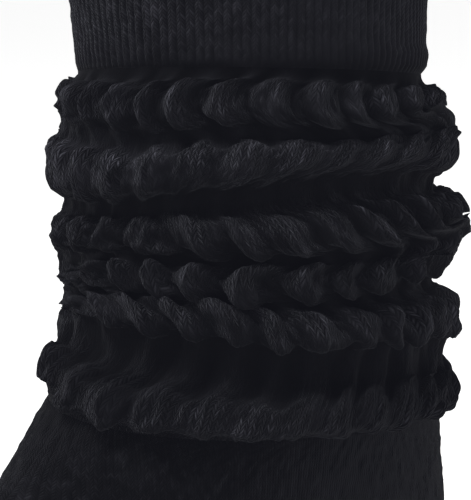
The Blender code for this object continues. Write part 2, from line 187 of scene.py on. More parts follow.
def softNoise(across, along, cells, seed):
    # Random values on a grid, eased from one to the next. across is in turns and closes on itself.
    rows = int(np.ceil(along.max())) + 3
    values = np.random.default_rng(seed).normal(size=(rows, cells))
    x, y = (across % 1.0) * cells, along + 1
    i, j = np.floor(x).astype(int) % cells, np.clip(np.floor(y).astype(int), 0, rows - 2)
    u, v = ease(x - np.floor(x)), ease(y - np.floor(y))
    near = values[j, i] * (1 - u) + values[j, (i + 1) % cells] * u
    far = values[j + 1, i] * (1 - u) + values[j + 1, (i + 1) % cells] * u
    return near * (1 - v) + far * v


def noise(kind, ribs, across, along):
    # Soft noise times its size. A kind's columns: size, cells for each rib, cells for each step
    # along, seed, and whether a hyperbolic tangent rounds its peaks off.
    size, perRib, perStep, seed, rounded = kind
    value = softNoise(across, along * perStep, round(ribs * perRib), seed)
    return size * (np.tanh(value) if rounded else value)


def atAngle(reach, angle, height):
    # Points in the sock's frame, in millimetres, from a reach, an angle and a height over the sole.
    return np.stack([reach * np.cos(angle), reach * np.sin(angle), height - sock["height"]], axis=-1)


def ringAngles(rows, columns):
    # The even angles of a grid's columns, the same in each of its rows.
    return np.tile(np.arange(columns) * turn / columns, (rows, 1))


def lengthDown(points):
    # The mean length of cloth from a grid's first row to each of its rows.
    steps = np.linalg.norm(np.diff(points, axis=0), axis=-1).mean(axis=1)
    return np.concatenate([[0], np.cumsum(steps)])


def gridNormals(points):
    # The cross product of the steps along and round a grid that closes round, pointing out.
    along = np.gradient(points, axis=0)
    across = np.roll(points, -1, axis=1) - np.roll(points, 1, axis=1)
    normal = np.cross(along, across)
    return normal / np.maximum(np.linalg.norm(normal, axis=-1, keepdims=True), 1e-9)


# From grids of points to closed pieces of cloth

def gridQuads(start, rows, columns, inward):
    # Four corners of each cell of a grid that closes round, as point numbers.
    r, c = np.meshgrid(np.arange(rows - 1), np.arange(columns), indexing="ij")
    a = start + r * columns + c
    b = start + r * columns + (c + 1) % columns
    quads = np.stack([a, a + columns, b + columns, b], axis=-1).reshape(-1, 4)
    return quads[:, ::-1] if inward else quads


def rimTriangles(outer, outerCount, inner, innerCount, top):
    # A fan from each inner point to its share of outer ones, and one triangle between two fans.
    share = outerCount // innerCount
    i = np.arange(outerCount)
    fans = np.stack([outer + i, outer + (i + 1) % outerCount, inner + i // share], axis=-1)
    last = i[share - 1::share]
    joins = np.stack([outer + (last + 1) % outerCount, inner + (last // share + 1) % innerCount,
                      inner + last // share], axis=-1)
    faces = np.concatenate([fans, joins])
    return faces if top else faces[:, [1, 0, 2]]


def clothPiece(name, outer, inner, stitches, shade, relief, material, tips=None, facing=None):
    # One closed wall from an outer and an inner grid. stitches gives each outer point's wale and
    # course, shade how light its yarn is, with its painted light and shade, and relief how clearly its
    # stitches stand out. The inner wall reads the stitches with fewer points. facing is the outer points'
    # normals, where the piece's shading runs on into the next piece's.
    rows, wide = outer.shape[:2]
    insideRows, narrow = inner.shape[:2]
    inside = rows * wide
    points = [outer.reshape(-1, 3), inner.reshape(-1, 3)]
    quads = np.concatenate([gridQuads(0, rows, wide, False), gridQuads(inside, insideRows, narrow, True)])
    rims = [rimTriangles(0, wide, inside, narrow, True)]
    last, insideLast = (rows - 1) * wide, inside + (insideRows - 1) * narrow
    if tips is None:
        rims.append(rimTriangles(last, wide, insideLast, narrow, False))
    else:
        points.append(np.asarray(tips, float))
        tip = inside + insideRows * narrow
        c, k = np.arange(wide), np.arange(narrow)
        rims.append(np.stack([last + (c + 1) % wide, last + c, np.full(wide, tip)], axis=-1))
        rims.append(np.stack([insideLast + k, insideLast + (k + 1) % narrow,
                              np.full(narrow, tip + 1)], axis=-1))
    triangles = np.concatenate(rims)
    points = np.concatenate(points) * mm
    insideStitches = stitches[np.linspace(0, rows - 1, insideRows).astype(int)][:, ::wide // narrow]
    tipStitches = np.tile(stitches[-1, :1], (len(points) - inside - insideRows * narrow, 1))
    perPoint = np.concatenate([stitches.reshape(-1, 2), insideStitches.reshape(-1, 2), tipStitches])
    walesRound = float(stitches[0, 1, 0] - stitches[0, 0, 0]) * wide
    shades = np.full(len(points), yarn["insideShade"])
    shades[:inside] = shade.ravel()
    reliefs = np.full(len(points), yarn["insideRelief"])
    reliefs[:inside] = np.clip(relief, 0, None).ravel()

    corners = np.concatenate([quads.reshape(-1), triangles.reshape(-1)])
    sizes = np.concatenate([np.full(len(quads), 4), np.full(len(triangles), 3)])
    starts = np.concatenate([[0], np.cumsum(sizes)[:-1]])
    uv = perPoint[corners]
    faceOf = np.repeat(np.arange(len(sizes)), sizes)
    highest = np.maximum.reduceat(uv[:, 0], starts)[faceOf]
    uv[:, 0] += np.where(highest - uv[:, 0] > walesRound / 2, walesRound, 0)  # across the closing line

    mesh = bpy.data.meshes.new(name)
    mesh.vertices.add(len(points))
    mesh.vertices.foreach_set("co", points.astype(np.float32).ravel())
    mesh.loops.add(len(corners))
    mesh.loops.foreach_set("vertex_index", corners.astype(np.int32))
    mesh.polygons.add(len(sizes))
    mesh.polygons.foreach_set("loop_start", starts.astype(np.int32))
    mesh.uv_layers.new(name="stitches").data.foreach_set("uv", uv.astype(np.float32).ravel())
    colours = np.ones((len(points), 4))
    colours[:, :3] = np.clip(shades, 0, None)[:, None] * np.array(yarn["colour"])
    mesh.color_attributes.new("yarnToneAndPaintedLight", "FLOAT_COLOR", "POINT").data.foreach_set(
        "color", colours.astype(np.float32).ravel())
    mesh.attributes.new("relief", "FLOAT", "POINT").data.foreach_set("value", reliefs.astype(np.float32))
    mesh.update(calc_edges=True)
    mesh.validate()
    flatRims = sum(len(rim) for rim in rims[:2 if tips is None else 1])
    smooth = np.ones(len(sizes), bool)
    smooth[len(quads):len(quads) + flatRims] = False
    mesh.polygons.foreach_set("use_smooth", smooth)
    if facing is not None:
        normals = np.concatenate([facing.reshape(-1, 3), -gridNormals(inner).reshape(-1, 3)])
        mesh.normals_split_custom_set_from_vertices(normals.tolist())
    mesh.materials.append(material)
    piece = bpy.data.objects.new(name, mesh)
    bpy.context.scene.collection.objects.link(piece)
    print(name, "triangles", 2 * len(quads) + len(triangles))
    return piece


# The yarn

yarn = {
    "colour": (0.0095, 0.0095, 0.0116),
    "insideShade": 0.7,
    "insideRelief": 0.5,
    "streaks": 0.34,  # long fibres that lie along the wales
    "streakCourses": 4.0,
    "legSlant": 1.3,  # courses that a leg climbs from the middle of its wale to the border
    "legRoundness": 0.6,
    "legContrast": 0.15,
    # painted shade in the gaps between a stitch's legs, and painted glints on a few random legs
    "gapShade": 0.78,
    "paintedGlint": 2.6,
    "paintedGlintPower": 3.0,
    # painted top light: its gain with the rise of the normal, and the least it may fall to
    "paintedTopGain": 0.95,
    "paintedTopLeast": 0.3,
    "roughness": 0.90,
    "specular": 0.04,
    "sheen": 0.045,
    "sheenRoughness": 0.35,
    "sheenTint": (0.86, 0.88, 1.0, 1.0),
    # the yarn's painted glow: a faint emission that lifts its darkest shade, and the glow's colour
    "paintedGlow": 0.0070,
    "paintedGlowColour": (0.68, 0.71, 1.0, 1.0),
    "stitchDepth": 0.00050,
    "fuzzPerMetre": 2600.0,
    "fuzzDepth": 0.00022,
    "fuzzDetail": 3.0,
}


def knitMaterial(name, stitchDepth):
    # Each stitch is a V of two legs that lean out upwards. Its legs stand proud, as bump, the gaps
    # between them carry painted shade, and a few random legs carry painted glints. All of it grows with
    # the cloth's relief.
    material = bpy.data.materials.new(name)
    material.use_nodes = True
    nodes, links = material.node_tree.nodes, material.node_tree.links
    shader = nodes["Principled BSDF"]
    for socket, key in (("Roughness", "roughness"), ("Specular IOR Level", "specular"),
                        ("Sheen Weight", "sheen"), ("Sheen Roughness", "sheenRoughness"),
                        ("Sheen Tint", "sheenTint"), ("Emission Color", "paintedGlowColour"),
                        ("Emission Strength", "paintedGlow")):
        shader.inputs[socket].default_value = yarn[key]

    def maths(operation, first, second=None):
        node = nodes.new("ShaderNodeMath")
        node.operation = operation
        for socket, value in zip(node.inputs, (first, second)):
            if value is None:
                continue
            if isinstance(value, (int, float)):
                socket.default_value = value
            else:
                links.new(value, socket)
        return node.outputs[0]

    relief = nodes.new("ShaderNodeAttribute")
    relief.attribute_name = "relief"
    relief = relief.outputs["Fac"]
    place = nodes.new("ShaderNodeUVMap")
    place.uv_map = "stitches"
    split = nodes.new("ShaderNodeSeparateXYZ")
    links.new(place.outputs["UV"], split.inputs["Vector"])
    fromMiddle = maths("ABSOLUTE", maths("SUBTRACT", maths("FRACT", split.outputs["X"]), 0.5))
    leg = maths("POWER", maths("SINE", maths("MULTIPLY", fromMiddle, turn)), yarn["legRoundness"])
    course = maths("ADD", split.outputs["Y"], maths("MULTIPLY", fromMiddle, -2 * yarn["legSlant"]))
    along = maths("ABSOLUTE", maths("SINE", maths("MULTIPLY", course, math.pi)))
    stitch = maths("MULTIPLY", leg, along)

    cell = nodes.new("ShaderNodeCombineXYZ")
    links.new(maths("FLOOR", maths("MULTIPLY", split.outputs["X"], 2.0)), cell.inputs["X"])
    links.new(maths("FLOOR", course), cell.inputs["Y"])
    chance = nodes.new("ShaderNodeTexWhiteNoise")
    chance.noise_dimensions = "2D"
    links.new(cell.outputs["Vector"], chance.inputs["Vector"])
    light = maths("MULTIPLY", maths("POWER", chance.outputs["Value"], yarn["paintedGlintPower"]), yarn["paintedGlint"])
    light = maths("ADD", maths("MULTIPLY", light, relief), 1.0)
    gap = maths("MULTIPLY", maths("SUBTRACT", 1.0, stitch), yarn["gapShade"])
    dark = maths("SUBTRACT", 1.0, maths("MULTIPLY", gap, relief))
    shade = nodes.new("ShaderNodeVertexColor")
    shade.layer_name = "yarnToneAndPaintedLight"
    tint = nodes.new("ShaderNodeVectorMath")
    tint.operation = "SCALE"
    links.new(shade.outputs["Color"], tint.inputs["Vector"])
    links.new(maths("MULTIPLY", light, dark), tint.inputs["Scale"])
    links.new(tint.outputs["Vector"], shader.inputs["Base Color"])

    where = nodes.new("ShaderNodeTexCoord")
    fuzz = nodes.new("ShaderNodeTexNoise")
    fuzz.inputs["Scale"].default_value = yarn["fuzzPerMetre"]
    fuzz.inputs["Detail"].default_value = yarn["fuzzDetail"]
    links.new(where.outputs["Object"], fuzz.inputs["Vector"])
    height = maths("ADD", maths("MULTIPLY", stitch, stitchDepth),
                   maths("MULTIPLY", fuzz.outputs["Fac"], yarn["fuzzDepth"]))
    bump = nodes.new("ShaderNodeBump")
    bump.inputs["Distance"].default_value = 1.0
    links.new(maths("MULTIPLY", height, relief), bump.inputs["Height"])
    links.new(bump.outputs["Normal"], shader.inputs["Normal"])
    return material


def stitchTone(wales, courses, walesRound, relief, seed):
    # Every stitch is two legs of a V, and each leg is a cell with a random lightness of its own.
    # Streaks of eased noise run on over several stitches.
    within = wales % 1.0
    slanted = courses - yarn["legSlant"] * np.abs(2 * within - 1)
    side = np.floor(wales * 2).astype(int) % (2 * walesRound)
    level = np.floor(slanted - slanted.min()).astype(int)
    lightness = np.random.default_rng(seed).normal(size=(level.max() + 1, 2 * walesRound))
    streak = softNoise(wales / walesRound, courses / yarn["streakCourses"], walesRound, seed + 1)
    return np.exp((yarn["legContrast"] * lightness[level, side] + yarn["streaks"] * streak) * relief)


def paintedTopLight(points):
    # Painted top light: one and a share of how far the normal rises, so faces that look up are lighter
    # and faces that look down darker.
    rise = gridNormals(points)[..., 2]
    return np.clip(1 + yarn["paintedTopGain"] * rise, yarn["paintedTopLeast"], None)


# The slouched leg

leg = {
    "ribs": 26,
    "ribRise": 3.6,
    "ribPeak": 0.42,  # where across a rib its highest line lies
    "ribRoundness": 1.2,
    # kinds of noise: size, cells for each rib, cells for each web, seed, peaks rounded off
    "ribUnevenness": (0.20, 1, 0.95, 11, False),
    "lobeDroop": (0.50, 1, 0.95, 12, False),
    "lumps": (0.62, 3, 2.375, 13, True),
    "strandUnevenness": (0.70, 7, 5.70, 14, False),
    "ribSway": (0.14, 1, 0.95, 15, False),
    "crumbs": (0.50, 7, 7.60, 16, True),
    "raggedEdge": (0.07, 3, 3.325, 17, False),
    "fineLumps": (0.50, 5, 4.75, 18, True),
    "patches": (0.40, 3, 3.04, 19, False),
    "toneSeed": 31,
    # how much of the ribs' rise each fold's crest keeps, at eight places
    "ribShare": (
        (1.0, 0.95, 0.95, 0.9, 0.9, 1.0, 1.0, 1.0),
        (0.8, 0.50, 0.28, 0.30, 0.8, 0.9, 0.7, 0.7),
        (1.0, 1.15, 1.05, 1.1, 1.1, 1.0, 1.0, 1.0),
        (0.6, 1.10, 1.1, 1.0, 1.0, 1.0, 1.0, 0.9),
        (0.5, 0.75, 0.85, 0.9, 0.9, 1.0, 1.0, 0.8),
        (1.0, 0.85, 0.32, 0.42, 0.70, 0.7, 0.6, 0.8),
    ),
    # painted light and shade on each fold, and how clearly its stitches show, at the same places
    "crestLight": (
        (1.05, 1.03, 0.95, 0.90, 0.92, 1.0, 1.0, 1.0),
        (1.05, 1.03, 0.95, 0.83, 0.85, 1.0, 1.0, 1.0),
        (0.60, 0.56, 0.74, 0.95, 0.97, 0.95, 0.9, 0.74),
        (0.82, 0.82, 0.84, 0.80, 0.83, 0.9, 0.9, 0.88),
        (0.62, 0.57, 0.76, 1.07, 1.10, 1.0, 0.95, 0.78),
        (0.66, 0.60, 0.84, 0.52, 0.48, 0.76, 0.84, 0.74),
    ),
    "clarity": (
        (1.0, 1.0, 0.9, 0.8, 0.9, 0.9, 1.0, 1.0),
        (1.3, 1.4, 1.3, 1.2, 1.1, 1.1, 1.2, 1.3),
        (0.65, 0.65, 0.9, 1.0, 1.0, 1.0, 0.9, 0.75),
        (0.65, 0.65, 0.75, 0.85, 0.9, 0.9, 0.8, 0.7),
        (0.75, 0.75, 1.0, 1.1, 1.0, 1.0, 0.9, 0.8),
        (0.95, 1.10, 1.6, 1.25, 1.0, 0.9, 1.0, 0.9),
    ),
    # how far each crease, from the neck to the seam, stays open and keeps its ribs and its knit
    "openCreases": (
        (0.3, 0.0, 0.0, 0.0, 0.2, 0.2, 0.2, 0.3),
        (0.5, 0.15, 0.1, 0.1, 0.8, 0.3, 0.2, 0.3),
        (0.4, 0.0, 0.05, 0.15, 0.25, 0.2, 0.2, 0.2),
        (0.5, 0.1, 0.0, 0.2, 1.0, 0.5, 0.2, 0.3),
        (0.6, 0.1, 0.0, 0.0, 0.35, 0.3, 0.2, 0.3),
        (0.9, 0.35, 0.10, 0.20, 0.5, 0.4, 0.3, 0.6),
        (0.0, 0.0, 0.0, 0.0, 0.0, 0.0, 0.0, 0.0),
    ),
    # how far a fully open crease is like a crest in its light, and in its ribs' swell
    "openCrest": 0.7,
    "openSwell": 0.6,
    "creaseShare": 0.25,  # the share of a crest's swell that a crease has
    "seamFade": 0.5,  # webs over which the ribs fade in from the neck and from the seam
    # the share of the lumps that the lowest roll has, and of the droop that the lowest fold has
    "rollLumps": 0.55,
    "rollDroop": 0.5,
    # the slope above the lowest fold: webs above the seam, width in webs, blur and painted light
    "slopeAbove": 1.5,
    "slopeWidth": 0.4,
    "slopeBlur": 0.6,
    "slopeLight": (1.2, 1.1, 1.0, 1.1, 1.4, 1.3, 1.3, 1.6),
    # web, painted light and shade, how dark the painted shade in the grooves between the ribs is
    "shadeRows": (
        (0.0, 0.62, 0.50), (0.5, 1.05, 0.70), (1.0, 1.20, 0.70), (1.5, 1.05, 0.70), (2.0, 1.30, 0.60),
        (2.6, 1.45, 0.60), (3.0, 1.34, 0.66), (3.5, 1.08, 0.60), (4.0, 0.95, 0.50), (5.0, 0.95, 0.60),
        (6.0, 1.00, 0.60), (7.0, 0.88, 0.60), (8.0, 1.00, 0.60), (9.0, 1.10, 0.62), (10.0, 0.92, 0.60),
        (10.4, 0.58, 0.85), (10.7, 0.62, 0.85), (10.9, 0.86, 0.70), (11.2, 1.22, 0.50),
        (11.6, 1.58, 0.40), (12.0, 1.50, 0.40),
    ),
    "grooveLeast": 0.5,  # the share of a groove's darkness that is left where the ribs hardly rise
    # painted shade on the later flank of each fold's ribs, as if lit from the earlier side: how much,
    # from where across a rib, over how much of it, and the mean that is taken off so that the fold stays
    # as light
    "paintedFlankShade": (0.32, 0.12, 0.0, 0.0, 0.0, 0.10),
    "paintedFlankFrom": 0.35,
    "paintedFlankOver": 0.5,
    "paintedFlankMiddle": 0.35,
    # painted shade in the creases: the tone left there, and the power of the crest's share that lifts it
    "creaseShade": 0.36,
    "creasePower": 1.3,
    # how far the fine knit stands out in a crease, in a groove, in the lowest roll's grooves, at most
    "creaseRelief": 0.06,
    "grooveRelief": 0.35,
    "rollRelief": 0.5,
    "reliefMost": 1.25,
    # the relief also grows with this power of the painted top light, and in patches, both within limits
    "upwardPower": 1.6,
    "upwardRange": (0.35, 1.7),
    "patchRange": (0.45, 1.7),
    "fineFrom": 0.25,  # the swell from which wales and crumbs stand fully out
    "walesPerRib": 7,
    "waleRise": 0.22,
    "coursePitch": 1.10,
    "cloth": 1.6,
    "pointsPerWale": 5,
    "innerPerRib": 7,
    "rowsPerInner": 3,
    "rowStep": 0.50,
    "probesPerWeb": 40,
    "probeColumns": 32,
    "splits": (0, 4, 8, 12),
    "names": ("upperFolds", "middleFolds", "lowerFolds"),
    "flatWidth": 0.31,
}


def foldKnots(angle):
    # The creases and crests in turn, from the neck down: height, reach and fullness of each.
    neckHeight = around(neck["height"], angle)
    knots = [(neckHeight, plainReach(neckHeight, angle), neck["full"])]
    for i, fold in enumerate(folds):
        crest = around(fold["crestHeight"], angle) + waves(i, angle, 1)
        ribs = leg["ribRise"] * around(leg["ribShare"][i], angle)
        crestOut = around(fold["crestOut"], angle) + waves(i + reachAhead, angle, 2) - ribs
        knots.append((crest, plainReach(crest, angle) + crestOut, fold["crestFull"]))
        valley = around(fold["valleyHeight"], angle)
        if fold is not folds[-1]:
            valley = valley + waves(i + 0.5, angle, 1)
        valleyReach = plainReach(valley, angle) + around(fold["valleyOut"], angle)
        knots.append((valley, valleyReach, fold["valleyFull"]))
    return knots


def ribTwist(row, angle):
    # How far the ribs have slid round the leg: a cubic through the twist at each crease and crest.
    twists = [around(neck["twist"], angle)]
    for fold in folds:
        twists += [around(fold["crestTwist"], angle), around(fold["valleyTwist"], angle)]
    twists = np.stack(twists)
    slopes = np.gradient(twists, axis=0)
    web = np.clip(row.astype(int), 0, len(twists) - 2)
    k = np.arange(len(row))
    ends = twists[web, k], twists[web + 1, k], slopes[web, k], slopes[web + 1, k]
    return cubic((row - web)[:, None], *ends)


def legSurface(row, angle):
    # Reach eases from crease to crest, and height is a cubic with handles straight up and down.
    # Both are read at the angle to which the ribs have slid.
    slid = angle + ribTwist(row, angle) / sock["twistRadius"]
    knots = foldKnots(slid)
    heights = np.stack([k[0] for k in knots])
    reaches = np.stack([k[1] for k in knots])
    fulls = np.array([k[2] for k in knots])
    web = np.clip(row.astype(int), 0, len(knots) - 2)
    k = np.arange(len(row))
    t = (row - web)[:, None]
    h0, h1 = heights[web, k], heights[web + 1, k]
    r0, r1 = reaches[web, k], reaches[web + 1, k]
    drop = h0 - h1
    p1 = h0 - fulls[web][:, None] * drop
    p2 = h1 + fulls[web + 1][:, None] * drop
    height = (1 - t)**3 * h0 + 3 * t * (1 - t)**2 * p1 + 3 * t**2 * (1 - t) * p2 + t**3 * h1
    reach = r0 + (r1 - r0) * ease(t)
    fall = 3 * (1 - t)**2 * (p1 - h0) + 6 * t * (1 - t) * (p2 - p1) + 3 * t**2 * (h1 - p2)
    swell = (r1 - r0) * 6 * t * (1 - t)
    steep = np.hypot(fall, swell) + 1e-9
    return reach, height, slid, -fall / steep, swell / steep


def ribSwell(row):
    # Most on a crest, least in a crease, and flush at both seams.
    last = 2 * len(folds)
    swell = leg["creaseShare"] + (1 - leg["creaseShare"]) * np.sin(row * math.pi / 2)**2
    return (swell * np.clip(np.minimum(row, last - row) / leg["seamFade"], 0, 1))[:, None]


def openShare(row, angle):
    # How open the nearest crease is, times the square of a cosine that is 1 in it and 0 on a crest.
    values = np.clip(np.stack([around(places, angle) for places in leg["openCreases"]]), 0, 1)
    nearest = values[np.round(row / 2).astype(int), np.arange(len(row))]
    return nearest * np.cos(row * math.pi / 2)[:, None]**2


def crestTable(table, row, angle):
    # A value for each fold's crest at even places round the leg, kept for most of the way to the next.
    values = np.stack([around(places, angle) for places in table])
    place = np.clip(row / 2 - 0.5, 0, len(table) - 1)
    low = np.clip(place.astype(int), 0, len(table) - 2)
    k = np.arange(len(row))
    return values[low, k] + (values[low + 1, k] - values[low, k]) * ((place - low)**3)[:, None]


def ribForm(row, across, slid):
    # Of each point: where across its rib it lies, the rib's profile there, how near a crest it is,
    # how much the ribs swell, and the share of their rise that the fold keeps. The profile is a
    # raised cosine with its top moved to ribPeak, to the power of its roundness.
    web, ribs = row[:, None], leg["ribs"]
    sway = noise(leg["ribSway"], ribs, across, web) + noise(leg["raggedEdge"], ribs, across, web)
    within = (across * ribs + sway) % 1.0
    skew = math.log(0.5) / math.log(leg["ribPeak"])
    opened = openShare(row, slid)
    fromNeck = np.clip(web / leg["seamFade"], 0, 1)
    return {
        "within": within,
        "profile": (0.5 - 0.5 * np.cos(turn * within**skew))**leg["ribRoundness"],
        "crest": np.clip(np.sin(web * math.pi / 2)**2 + leg["openCrest"] * opened, 0, 1),
        "swell": np.clip(ribSwell(row) + leg["openSwell"] * opened * fromNeck, 0, 1),
        "share": crestTable(leg["ribShare"], row, slid),
    }


def legRelief(row, form):
    # The fine knit stands out most on a rib's top and least in a crease, and well on the lowest roll.
    onRoll = row[:, None] > 2 * len(folds) - 1
    proud = np.clip((form["swell"] - leg["creaseShare"]) / (1 - leg["creaseShare"]), 0, 1)
    proud = proud * (leg["grooveRelief"] + (1 - leg["grooveRelief"]) * form["profile"])
    proud = np.where(onRoll, leg["rollRelief"] + (1 - leg["rollRelief"]) * form["profile"], proud)
    return leg["creaseRelief"] + (1 - leg["creaseRelief"]) * proud


def legRise(row, across, form, relief):
    # How far each point moves out: the uneven rib, wales and crumbs by their relief, and lumps.
    web, ribs = row[:, None], leg["ribs"]
    rib = leg["ribRise"] * form["share"] * form["swell"] * form["profile"]
    rib = rib * (1 + noise(leg["ribUnevenness"], ribs, across, web))
    strands = 1 + noise(leg["strandUnevenness"], ribs, across, web)
    wale = np.abs(np.sin(math.pi * across * ribs * leg["walesPerRib"]))
    fine = leg["waleRise"] * strands * wale + noise(leg["crumbs"], ribs, across, web)
    lumps = noise(leg["lumps"], ribs, across, web) + noise(leg["fineLumps"], ribs, across, web)
    lumps = lumps * np.where(web > 2 * len(folds) - 1, leg["rollLumps"], 1.0)
    return rib + fine * relief * np.clip(form["swell"] / leg["fineFrom"], 0, 1) + lumps * form["swell"]


def legTone(row, across, slid, form, relief, points, stitches):
    # How light the yarn is: the tables of rows and of crests with painted light and shade, painted shade
    # in creases, in grooves and on a rib's later flank, times the stitches' own random tone and the
    # painted top light. The knit shows clearest on faces that look up, in patches, and least on the slope
    # above the lowest fold.
    places, lightness, grooves = zip(*leg["shadeRows"])
    grooves = smoothBetween(row, places, grooves)[:, None] * np.clip(form["share"], leg["grooveLeast"], 1)
    tone = leg["creaseShade"] + (1 - leg["creaseShade"]) * form["crest"]**leg["creasePower"]
    tone = tone * (1 - grooves * (1 - form["profile"]))
    flankShadow = np.interp(row, np.arange(len(folds)) * 2 + 1, leg["paintedFlankShade"])[:, None]
    flank = np.clip((form["within"] - leg["paintedFlankFrom"]) / leg["paintedFlankOver"], 0, 1)
    tone = tone * (1 - flankShadow * (ease(flank) - leg["paintedFlankMiddle"]))
    # painted top light, which also makes the knit show clearer on faces that look up
    upward = paintedTopLight(points)
    patches = np.clip(1 + noise(leg["patches"], leg["ribs"], across, row[:, None]), *leg["patchRange"])
    relief = relief * np.clip(upward**leg["upwardPower"], *leg["upwardRange"]) * patches
    relief = relief * crestTable(leg["clarity"], row, slid)
    slope = np.exp(-((row - 2 * len(folds) + leg["slopeAbove"]) / leg["slopeWidth"])**2)[:, None]
    relief = np.clip(relief * (1 - leg["slopeBlur"] * slope), 0, leg["reliefMost"])
    slopeLight = 1 + (around(leg["slopeLight"], slid) - 1) * slope
    tone = tone * crestTable(leg["crestLight"], row, slid) * slopeLight
    wales = leg["ribs"] * leg["walesPerRib"]
    tone = tone * stitchTone(stitches[..., 0], stitches[..., 1], wales, relief, leg["toneSeed"]) * upward
    return tone * smoothBetween(row, places, lightness)[:, None], relief


def legOuter(row, columns, firstCourse):
    # The plain surface, moved out by the ribs' rise, with lobes that sink or lift a little on the
    # crests. Courses are counted down the cloth. One more row at each end lets tones and normals run
    # across a seam.
    last = 2 * len(folds)
    row = np.clip(np.concatenate([[2 * row[0] - row[1]], row, [2 * row[-1] - row[-2]]]), 0, last)
    angle = ringAngles(len(row), columns)
    reach, height, slid, out, up = legSurface(row, angle)
    across = angle / turn
    form = ribForm(row, across, slid)
    relief = legRelief(row, form)
    rise = legRise(row, across, form, relief)
    droop = noise(leg["lobeDroop"], leg["ribs"], across, row[:, None])
    droop = droop * np.where(row > last - 2, leg["rollDroop"], 1.0)[:, None]
    height = height + rise * up + droop * form["crest"] * form["swell"]
    points = atAngle(reach + rise * out, slid, height)
    lengths = lengthDown(atAngle(reach, slid, height))
    courses = firstCourse + (lengths - lengths[1]) / leg["coursePitch"]
    wales = across * leg["ribs"] * leg["walesPerRib"]
    stitches = np.stack([wales, courses[:, None] * np.ones_like(wales)], axis=-1)
    tone, relief = legTone(row, across, slid, form, relief, points, stitches)
    return tuple(grid[1:-1] for grid in (points, stitches, tone, relief, gridNormals(points)))


def legInner(row, columns):
    # The same surface with no ribs, moved in by the thickness of the cloth.
    angle = ringAngles(len(row), columns)
    reach, height, slid, out, up = legSurface(row, angle)
    return atAngle(reach - leg["cloth"] * out, slid, height - leg["cloth"] * up)


def webRows(first, last):
    # Rows from one crease to another, spaced by the mean length of cloth in each web.
    probe = np.linspace(first, last, leg["probesPerWeb"] * (last - first) + 1)
    reach, height, slid, out, up = legSurface(probe, ringAngles(len(probe), leg["probeColumns"]))
    along = lengthDown(atAngle(reach, slid, height))
    count = int(round(along[-1] / leg["rowStep"]))
    return np.interp(np.linspace(0, along[-1], count + 1), along, probe), along[-1]


legMaterial = knitMaterial("legKnit", yarn["stitchDepth"])
columns = leg["ribs"] * leg["walesPerRib"] * leg["pointsPerWale"]
course = 0.0
for name, first, last in zip(leg["names"], leg["splits"], leg["splits"][1:]):
    rows, length = webRows(first, last)
    outer, stitches, shade, relief, facing = legOuter(rows, columns, course)
    course = stitches[-1, 0, 1]
    innerPlaces = np.linspace(0, len(rows) - 1, len(rows) // leg["rowsPerInner"])
    innerRows = np.interp(innerPlaces, np.arange(len(rows)), rows)
    inner = legInner(innerRows, leg["innerPerRib"] * leg["ribs"])
    piece = clothPiece(name, outer, inner, stitches, shade, relief, legMaterial, facing=facing)
    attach(piece, "root")
    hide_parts("slouched_leg")
print("leg made")


# The cuff

cuff = {
    "ribs": 124,
    "ribRise": 0.42,
    "ribRoundness": 0.6,
    "ribFade": 0.03,  # over this last share of the cuff the ribs end
    # kinds of noise: size, cells for each rib, cells for the cuff's length, seed, peaks rounded off
    "ribUnevenness": (0.18, 1, 14, 21, False),
    "lumps": (0.10, 1, 50, 22, False),
    # the same, but with cells for each course
    "mottle": (0.11, 0.4, 0.2, 24, False),
    "toneSeed": 32,
    # painted shade in the grooves between the ribs
    "grooveShade": (0.74, 0.73, 0.78, 0.86, 0.84, 0.78, 0.76, 0.76),  # at eight places round the cuff
    # from this share of the way down, painted shade darkens the cuff to this tone at the neck and its
    # stitches blur by this much
    "neckFrom": 0.80,
    "neckShade": 0.62,
    "neckBlur": 0.9,
    # how clearly the stitches stand out at eight places round the cuff, near the mouth and near the neck
    "relief": ((0.4, 0.6, 0.35, 0.25, 0.3, 0.4, 0.4, 0.4), (0.5, 0.9, 0.45, 0.25, 0.3, 0.4, 0.4, 0.4)),
    "coursePitch": 0.95,
    "cloth": 1.6,
    "stitchDepth": 0.00045,  # metres
    "length": 55.0,
    "pointsPerRib": 8,
    "rowStep": 0.9,
    "innerRows": 24,
    "mouthRound": 0.8,
    "mouthRows": 5,
    "sinkRows": 6,  # rows over which the wall sinks to meet the round mouth
    # rise above the neck, and extra reach at four places, 90 degrees apart: none any higher up
    "rows": (
        (0.0, (0.0, 0.0, 0.0, 0.0)),
        (1.8, (0.1, 0.4, 0.9, 0.5)),
        (4.2, (0.1, 0.5, 1.2, 0.6)),
        (8.0, (0.0, 0.2, 0.4, 0.2)),
        (17.0, (0.0, 0.0, 0.0, 0.0)),
    ),
}


def cuffSurface(share, angle, inward):
    # share goes from 0 at the mouth to 1 at the neck. Reach is the plain form plus the table's extra.
    bottom = around(neck["height"], angle)
    height = sock["height"] + (bottom - sock["height"]) * share
    rises = [row[0] for row in cuff["rows"]]
    places = np.stack([around(row[1], angle[0]) for row in cuff["rows"]])
    above = height - bottom
    extra = np.zeros_like(angle)
    for i in range(len(rises) - 1):
        t = (above - rises[i]) / (rises[i + 1] - rises[i])
        eased = places[i] + (places[i + 1] - places[i]) * ease(t)
        extra = np.where((t >= 0) & (t <= 1), eased, extra)
    return plainReach(height, angle) + extra - inward, height


